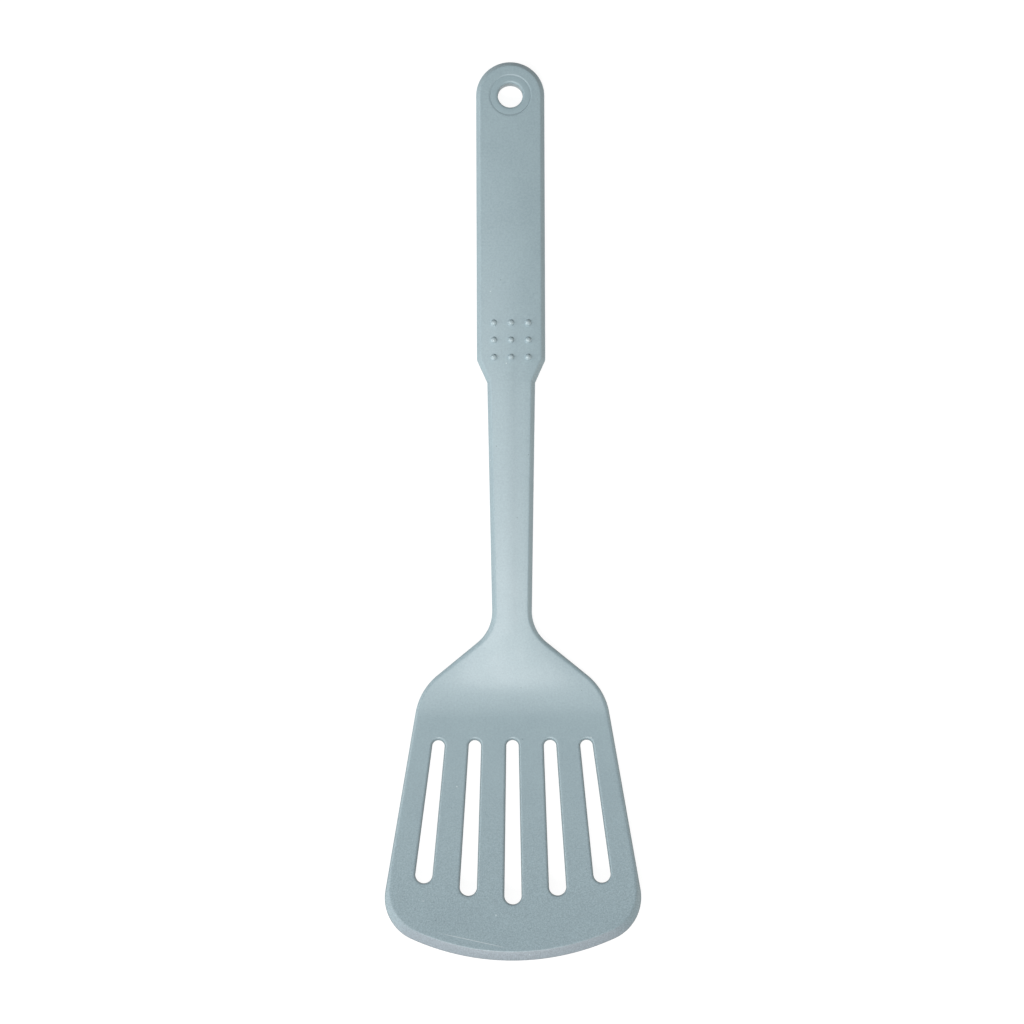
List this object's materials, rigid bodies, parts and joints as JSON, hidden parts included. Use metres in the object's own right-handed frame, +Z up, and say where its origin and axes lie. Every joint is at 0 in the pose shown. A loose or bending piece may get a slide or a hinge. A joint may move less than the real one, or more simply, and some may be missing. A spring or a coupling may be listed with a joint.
{
  "type": "slotted spatula",
  "caption": "Slotted kitchen spatula: fanned draining slots in a wide bevelled blade, arched neck, flat chamfered handle with raised grip dots and a round hanging eyelet.",
  "frame": {"origin": "on the surface that the spatula lies on, under the middle of its bounding box", "axes": "+X across the blade, +Y from the lip towards the end of the handle, +Z up, out of the face with the grip dots"},
  "size_m": [0.0912, 0.32, 0.0182],
  "materials": {
    "blade_nylon": "fine matt, as moulded",
    "handle_nylon": "fine matt, as moulded",
    "eyelet_nylon": "satin, as moulded",
    "dot_nylon": "satin, as moulded"
  },
  "bodies": {
    "root": {"blade": "blade_nylon", "handle": "handle_nylon", "hanging_eyelet": "eyelet_nylon", "grip_dot_1": "dot_nylon", "grip_dot_2": "dot_nylon", "grip_dot_3": "dot_nylon", "grip_dot_4": "dot_nylon", "grip_dot_5": "dot_nylon", "grip_dot_6": "dot_nylon", "grip_dot_7": "dot_nylon", "grip_dot_8": "dot_nylon", "grip_dot_9": "dot_nylon"}
  },
  "joints": []
}
